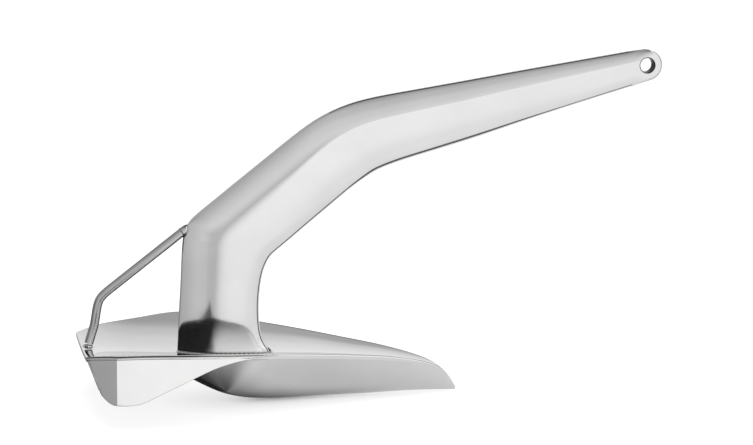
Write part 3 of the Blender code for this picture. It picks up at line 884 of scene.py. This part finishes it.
def weld_steel(name, haze=1.0, tint=0.10):
    """Ground and brushed weld metal: coarser grain, small pits and a trace of heat tint."""
    material, g, shader = new_material(name)
    place = g.place()
    cloud = g.noise(place, 60.0, 4.0, 0.6)
    grain = g.noise(place, 1300.0, 4.0, 0.7, (1.0, 0.35, 1.0))
    pits = g.span(g.noise(place, 520.0, 2.0, 0.6), 0.68, 0.76)
    rough = g.span(cloud, 0.3, 0.7, 0.10 * haze, 0.20 * haze)
    rough = g.plus(rough, g.times(grain, 0.08 * haze))
    rough = g.plus(rough, g.times(pits, 0.2))
    tone = g.blend(g.span(cloud, 0.3, 0.7), (0.585, 0.585, 0.583, 1.0), (0.52, 0.52, 0.518, 1.0))
    heat = g.times(g.span(g.noise(place, 16.0, 2.0), 0.50, 0.68), tint)
    tone = g.blend(heat, tone, (0.55, 0.50, 0.43, 1.0))
    tone = g.blend(g.times(pits, 0.7), tone, (0.20, 0.20, 0.20, 1.0))
    # Painted shade in the weld's crevices: the colour goes towards black where ambient occlusion is low.
    tone = g.blend(g.times(crevice_shade(g, 0.0010), 0.9), tone, SHADE_BLACK)
    normal = g.bump(pits, -0.00006, g.bump(grain, 0.000012))
    g.fill(shader, {"Base Color": tone, "Roughness": rough, "Metallic": 1.0, "Normal": normal})
    return material


def cast_lead(name):
    """Poured lead: dull, mottled oxide and a lumpy skin."""
    material, g, shader = new_material(name)
    place = g.place()
    mottle = g.noise(place, 38.0, 5.0, 0.65)
    lumps = g.noise(place, 120.0, 3.0, 0.5)
    tone = g.blend(g.span(mottle, 0.3, 0.7), (0.20, 0.21, 0.23, 1.0), (0.34, 0.35, 0.36, 1.0))
    g.fill(shader, {"Base Color": tone, "Roughness": g.span(mottle, 0.3, 0.7, 0.5, 0.75),
                    "Metallic": 0.8, "Normal": g.bump(lumps, 0.0006)})
    return material


plate_steel = polished_steel("plate_polish", (0.06, 1.0, 1.0))
# The deck's rear is painted darker: painted shade.
deck_steel = polished_steel("deck_polish", (0.06, 1.0, 1.0), tail=0.89)
# Stronger painted shade: in the shank's crevices, in the eye's crevices and on its turned-away faces, and
# on the rod's turned-away faces.
shank_steel = polished_steel("shank_polish", (0.08, 1.0, 0.30), 1.0, (0.0045, 0.80, 0.97))
forged_steel = polished_steel("forged_polish", (0.5, 1.0, 0.5), 1.3, (0.030, 0.34, 0.97),
                              (0.30, 0.80, 0.45), bore=(EYE_X * MM, EYE_Z * MM, EYE_BORE_RADIUS * MM))
rod_steel = polished_steel("rod_polish", (0.3, 1.0, 0.3), 1.1, CORNER, (0.10, 0.65, 0.34), 0.72)
inner_steel = polished_steel("mill_finish", (1.0, 0.1, 1.0), 3.5)
bead_steel = weld_steel("weld_ground")
fine_bead_steel = weld_steel("weld_polished", 0.5, 0.04)
lead = cast_lead("lead_cast")

# ------------------------------------------------------------------- the object

stand_in(build_deck(), ["fluke_deck"], deck_steel)
for suffix, way in (("port", PORT), ("starboard", STARBOARD)):
    stand_in(build_wing(f"wing_plate_{suffix}", way), [f"wing_{suffix}"], plate_steel)
    stand_in(build_rim_weld(f"rim_bead_{suffix}", way), [f"rim_weld_{suffix}"], fine_bead_steel)
    stand_in(build_hull_side(f"hull_plate_{suffix}", way), [f"hull_side_{suffix}"], plate_steel)
    stand_in(build_shell(f"shank_half_{suffix}", way), [f"shank_shell_{suffix}"], shank_steel)
stand_in(build_keel_seam(), ["keel_seam"], fine_bead_steel)
stand_in(build_toe(), ["toe_point"], plate_steel)
stand_in(build_seam("shank_seam_strip_top", False), ["shank_seam_top"], fine_bead_steel)
stand_in(build_seam("shank_seam_strip_bottom", True), ["shank_seam_bottom"], fine_bead_steel)
stand_in(build_foot_weld(), ["foot_weld"], bead_steel)
stand_in(build_eye(), ["shackle_eye"], forged_steel)
stand_in(build_rod(), ["roll_bar"], rod_steel)

PLATE_UP = (0.13, 0, 1)
rod_top, rod_foot = ROD_PATH[0], ROD_PATH[-1]
top_run = (ROD_PATH[1][0] - rod_top[0], 0, ROD_PATH[1][1] - rod_top[1])
foot_run = (ROD_PATH[-2][0] - rod_foot[0], 0, ROD_PATH[-2][1] - rod_foot[1])
top_wall = (-317.0, 0, 282.4)
foot_wall = (rod_foot[0], 0, float(deck_z(rod_foot[0], 0)))
stand_in(build_collar("rod_top_bead", (rod_top[0], 0, rod_top[1]), top_run, top_wall, top_run, 1.7, 9),
         ["roll_bar_top_weld"], bead_steel)
stand_in(build_collar("rod_foot_bead", (rod_foot[0], 0, rod_foot[1]), foot_run, foot_wall, PLATE_UP,
                      2.3, 11),
         ["roll_bar_foot_weld"], bead_steel)

for node, material in (("hull_transom", inner_steel), ("ballast_bulkhead", inner_steel),
                       ("lead_ballast", lead)):
    dress(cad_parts[node], material)

# -------------------------------------------------------------------- the studio


def make_floor():
    """Wide, flat, round floor."""
    radii = (0.3, 0.8, 1.5, 3.0, 6.0, 12.0, 20.0, 30.0, 42.0)
    verts, faces, count = [(0.0, 0.0, 0.0)], [], 96
    for radius in radii:
        for k in range(count):
            a = 2 * math.pi * k / count
            verts.append((radius * math.cos(a), radius * math.sin(a), 0.0))
    for k in range(count):
        faces.append((0, 1 + k, 1 + (k + 1) % count))
    for r in range(len(radii) - 1):
        a, b = 1 + r * count, 1 + (r + 1) * count
        for k in range(count):
            j = (k + 1) % count
            faces.append((a + k, b + k, b + j, a + j))
    obj = linked("studio_floor", verts, faces)
    return obj


def floor_material():
    """Floor that is near white to the camera and keeps its soft, uneven light in the steel."""
    material, g, shader = new_material("floor_pale")
    g.tree.nodes.remove(shader)
    place = g.place()
    world_x, y, _ = g.split(place)
    x = g.minus(world_x, FOOT_X)
    paper = g.noise(place, 240.0, 3.0, 0.6)
    # Both are taken about the middle of the shank's foot.
    bearing, reach = g.bearing(x, y), g.length(x, y)
    tone = g.curve(bearing, FLOOR_ROUND)
    near = g.plus(g.span(reach, 0.12, 0.45, FLOOR_NEAR, 0.82), g.span(reach, 0.65, 1.15, 0.0, 0.06))
    near = g.plus(near, g.span(reach, 1.5, 2.9, 0.0, 0.08))
    under_x = g.math("DIVIDE", g.minus(world_x, UNDER[0]), UNDER[2])
    under_y = g.math("DIVIDE", g.minus(y, UNDER[1]), UNDER[3])
    near = g.times(near, g.span(g.length(under_x, under_y), 0.55, 1.25, UNDER_TONE, 1.0))
    tone = g.times(tone, near)
    tone = g.times(tone, g.span(paper, 0.3, 0.7, 0.985, 1.0))
    # Painted reflection: a black patch in the floor's glow, as of black cloth on the floor in front, which
    # the leg shows above the plate's edge with a small peak.
    off = g.minus(bearing, math.radians(PEAK_BEARING))
    off = g.math("MAXIMUM", g.times(off, -1 / math.radians(PEAK_RIGHT)),
                 g.times(off, 1 / math.radians(PEAK_LEFT)))
    off = g.plus(off, g.times(g.minus(reach, PEAK_REACH), 1 / PEAK_LENGTH))
    cloth = g.times(g.window(bearing, CLOTH_ROUND), g.span(reach, *CLOTH_FAR, CLOTH_BLACK, 0.0))
    cloth = g.math("MAXIMUM", cloth, g.span(off, 0.80, 1.10, CLOTH_BLACK, 0.0))
    cloth = g.times(cloth, g.span(reach, *CLOTH_NEAR))
    tone = g.times(tone, g.minus(1.0, cloth))

    def lit(strength, albedo):
        """Its own glow plus the light that falls on it."""
        glow = g.add("ShaderNodeEmission")
        matt = g.add("ShaderNodeBsdfDiffuse")
        both = g.add("ShaderNodeAddShader")
        g.put(glow.inputs["Strength"], strength)
        g.put(matt.inputs["Color"], (albedo, albedo, albedo, 1.0))
        g.fill(both, {0: glow.outputs[0], 1: matt.outputs[0]})
        return both.outputs[0]

    pick = g.add("ShaderNodeMixShader")
    # Painted contact shadow: ambient occlusion darkens the floor's glow near the anchor, both as the camera
    # sees it and in reflections.
    contact_shadow_ao = g.add("ShaderNodeAmbientOcclusion", samples=12)
    contact_shadow_ao.inputs["Distance"].default_value = 0.06
    lift = g.times(g.math("POWER", contact_shadow_ao.outputs["AO"], 0.10), FLOOR_LIFT)
    tone = g.times(tone, g.span(contact_shadow_ao.outputs["AO"], 0.0, 0.22, 0.35, 1.0))
    g.fill(pick, {0: g.add("ShaderNodeLightPath").outputs["Is Camera Ray"],
                  1: lit(g.math("MAXIMUM", g.minus(tone, FLOOR_SHADE), 0.0), FLOOR_SHADE),
                  2: lit(lift, FLOOR_SEEN)})
    g.link(pick.outputs[0], g.tree.nodes["Material Output"].inputs["Surface"])
    return material


def make_card(name, centre, size, aim, brightness):
    """Studio card with soft edges that only shows in a first reflection, and only face on."""
    w, h = size[0] / 2, size[1] / 2
    verts, faces, steps = [], [], 8
    for i in range(steps + 1):
        for j in range(steps + 1):
            verts.append((w * (2 * i / steps - 1), h * (2 * j / steps - 1), 0.0))
    for i in range(steps):
        for j in range(steps):
            a = i * (steps + 1) + j
            faces.append((a, a + steps + 1, a + steps + 2, a + 1))
    obj = linked(name, verts, faces)
    obj.matrix_world = (Matrix.Translation(centre)
                        @ (Vector(aim) - Vector(centre)).to_track_quat("Z", "Y").to_matrix().to_4x4())
    material, g, shader = new_material(name + "_cloth")
    g.tree.nodes.remove(shader)
    x, y, _ = g.split(g.place())
    fall_x = g.span(g.math("ABSOLUTE", x), w * 0.80, w, 1.0, 0.0)
    fall_y = g.span(g.math("ABSOLUTE", y), h * 0.80, h, 1.0, 0.0)
    glow = g.add("ShaderNodeEmission")
    g.fill(glow, {"Color": (1.0, 1.0, 1.0, 1.0), "Strength": brightness})
    clear = g.add("ShaderNodeBsdfTransparent").outputs[0]
    pick = g.add("ShaderNodeMixShader")
    turned = g.add("ShaderNodeLayerWeight").outputs["Facing"]
    shows = g.times(g.times(fall_x, fall_y), g.span(turned, 0.17, 0.25, 1.0, 0.0))
    first = g.math("LESS_THAN", g.add("ShaderNodeLightPath").outputs["Glossy Depth"], SECOND_GLANCE)
    g.fill(pick, {0: g.times(shows, first), 1: clear, 2: glow.outputs[0]})
    g.link(pick.outputs[0], g.tree.nodes["Material Output"].inputs["Surface"])
    dress(obj, material)
    obj.visible_camera = False
    obj.visible_diffuse = False
    obj.visible_shadow = False


def make_world():
    """White surroundings for the camera; a graded light tent for the steel and the floor."""
    world = bpy.data.worlds.new("light_tent")
    scene.world = world
    world.use_nodes = True
    g = Graph(world.node_tree)
    x, y, z = g.split(g.add("ShaderNodeTexCoord").outputs["Generated"])
    height = g.math("ARCSINE", z)
    level = g.math("MAXIMUM", g.length(x, y), 0.001)
    across, along = g.math("DIVIDE", x, level), g.math("DIVIDE", y, level)
    front_left = g.times(g.span(across, -0.30, -0.72), g.span(along, 0.25, 0.0))
    tent = g.curve(height, TENT_FRONT)
    for stops, where in ((TENT_BACK, g.span(along, -0.25, 0.45)),
                         (TENT_RIGHT, g.span(across, 0.30, 0.75)),
                         (TENT_FRONT_LEFT, front_left),
                         (TENT_LEFT, g.span(across, -0.78, -0.98))):
        tent = g.plus(g.times(tent, g.minus(1.0, where)), g.times(g.curve(height, stops), where))
    path = g.add("ShaderNodeLightPath").outputs
    bearing = g.bearing(x, y)
    dip = g.times(g.window(bearing, DIP_ROUND), g.curve(height, DIP_HEIGHT))
    tent = g.times(tent, g.minus(1.0, dip))
    tent = g.times(tent, g.minus(1.0, g.times(g.window(bearing, SHADE_ROUND), SHADE_DEPTH)))
    # What the plate hands on to the shank, painted into reflections seen after two glances off the steel: a
    # black screen on the left, an extra light on the right.
    lean = g.plus(bearing, g.times(g.minus(height, math.radians(SCREEN_MIDDLE)), SCREEN_LEAN))
    black = g.times(g.window(lean, SCREEN_ROUND), g.curve(height, SCREEN_TOP))
    again = g.plus(1.0, g.times(g.window(bearing, EXTRA_ROUND), g.minus(g.curve(height, EXTRA_LIGHT), 1.0)))
    again = g.times(again, g.minus(1.0, g.times(black, SCREEN_BLACK)))
    twice = g.math("GREATER_THAN", path["Glossy Depth"], SECOND_GLANCE)
    tent = g.times(tent, g.plus(1.0, g.times(twice, g.minus(again, 1.0))))
    direct = path["Is Camera Ray"]
    seen = g.plus(g.times(tent, g.minus(1.0, direct)), g.times(direct, WORLD_SEEN))
    g.fill(g.tree.nodes["Background"], {"Color": (1.0, 1.0, 1.0, 1.0), "Strength": seen})


def make_lamp(name, location, aim, size, power):
    """Soft overhead light for the floor; it doesn't show in the steel."""
    lamp = bpy.data.lights.new(name, "AREA")
    lamp.shape = "DISK"
    lamp.size = size
    lamp.energy = power
    obj = bpy.data.objects.new(name, lamp)
    obj.location = location
    obj.rotation_mode = "QUATERNION"
    obj.rotation_quaternion = (Vector(aim) - Vector(location)).to_track_quat("-Z", "Y")
    obj.visible_glossy = False
    obj.visible_camera = False
    scene.collection.objects.link(obj)


# The floor's tone by bearing and near the shank's foot, and the dimmer oval under the wings
# (middle x and y, half length, half width).
FOOT_X = -0.25
FLOOR_ROUND = [(-180, 0.80), (-120, 1.02), (-75, 1.24), (-28, 1.40), (-10, 1.52), (8, 0.84), (20, 0.86),
               (28, 0.96), (36, 0.98), (55, 0.76), (95, 0.45), (140, 0.35), (180, 0.80)]
FLOOR_NEAR = 0.66
UNDER, UNDER_TONE = (-0.36, 0.04, 0.22, 0.16), 0.36
FLOOR_SHADE, FLOOR_SEEN, FLOOR_LIFT = 0.12, 0.30, 0.84
# The painted black patch in the floor's glow, as of black cloth: bearings in degrees, reaches in metres.
CLOTH_ROUND, CLOTH_NEAR, CLOTH_FAR, CLOTH_BLACK = (3, 11, 70, 95), (0.42, 0.58), (0.775, 0.83), 0.95
PEAK_BEARING, PEAK_RIGHT, PEAK_LEFT, PEAK_REACH, PEAK_LENGTH = 16, 8, 22, 0.80, 0.24
# The tent's brightness by elevation, one list for each side.
TENT_FRONT = [(-2, 1.16), (15, 1.10), (30, 0.99), (45, 0.80), (57, 0.58), (70, 0.40), (82, 0.08)]
TENT_RIGHT = [(-2, 1.18), (12, 1.50), (65, 1.50), (80, 0.08)]
TENT_BACK = [(-2, 1.03), (14, 1.08), (26, 1.05), (34, 0.92), (42, 0.60), (60, 0.52), (78, 0.08)]
TENT_FRONT_LEFT = [(-2, 0.80), (20, 0.74), (33, 0.55), (46, 0.66), (57, 0.60), (70, 0.40), (82, 0.08)]
TENT_LEFT = [(-2, 0.36), (15, 0.38), (30, 0.53), (50, 0.62), (78, 0.08)]
# What darkens or brightens it between bearings, with shares by elevation; all in degrees.
DIP_ROUND, DIP_HEIGHT = (-4, 6, 17, 32), [(6, 0.31), (22, 0.0)]
SHADE_ROUND, SHADE_DEPTH = (-150, -122, -100, -78), 0.68
SCREEN_ROUND, SCREEN_TOP, SCREEN_BLACK = (-10, 15, 110, 150), [(57, 1.0), (64, 0.0)], 0.955
SCREEN_MIDDLE, SCREEN_LEAN = 36, 0.8
EXTRA_ROUND, EXTRA_LIGHT = (-45, -28, 2, 14), [(28, 1.62), (36, 1.50), (38, 1.50), (50, 1.05)]
# Glossy depth above which a ray has already met the steel twice.
SECOND_GLANCE = 1.5
WORLD_SEEN = 1.05

dress(make_floor(), floor_material())
make_world()
make_lamp("lamp_over", (-0.2, -0.3, 3.2), (0, 0, 0), 2.4, 60.0)
make_card("card_over_wing", (-0.17, -0.31, 0.36), (1.06, 0.32), (-0.17, -0.21, 0.06), 1.45)

AIM = Vector((0.005, 0.0, 0.289))
AZIMUTH, ELEVATION, DISTANCE = math.radians(-10.0), math.radians(9.2), 4.95
# The lens's length is this many times the width of its sensor.
SENSOR_WIDTH, THROW = 36.0, 3.9840637
camera_data = bpy.data.cameras.new("camera")
camera_data.sensor_width = SENSOR_WIDTH
camera_data.lens = THROW * SENSOR_WIDTH
camera = bpy.data.objects.new("camera", camera_data)
back = Vector((math.sin(AZIMUTH) * math.cos(ELEVATION), -math.cos(AZIMUTH) * math.cos(ELEVATION),
               math.sin(ELEVATION)))
camera.location = AIM + back * DISTANCE
camera.rotation_mode = "QUATERNION"
camera.rotation_quaternion = (-back).to_track_quat("-Z", "Y")
camera_data.clip_end = 100.0
scene.collection.objects.link(camera)
bpy.context.scene.camera = camera

scene.view_settings.view_transform = "Standard"
scene.view_settings.look = "None"
scene.cycles.max_bounces = 12
scene.cycles.glossy_bounces = 10
scene.cycles.use_denoising = True
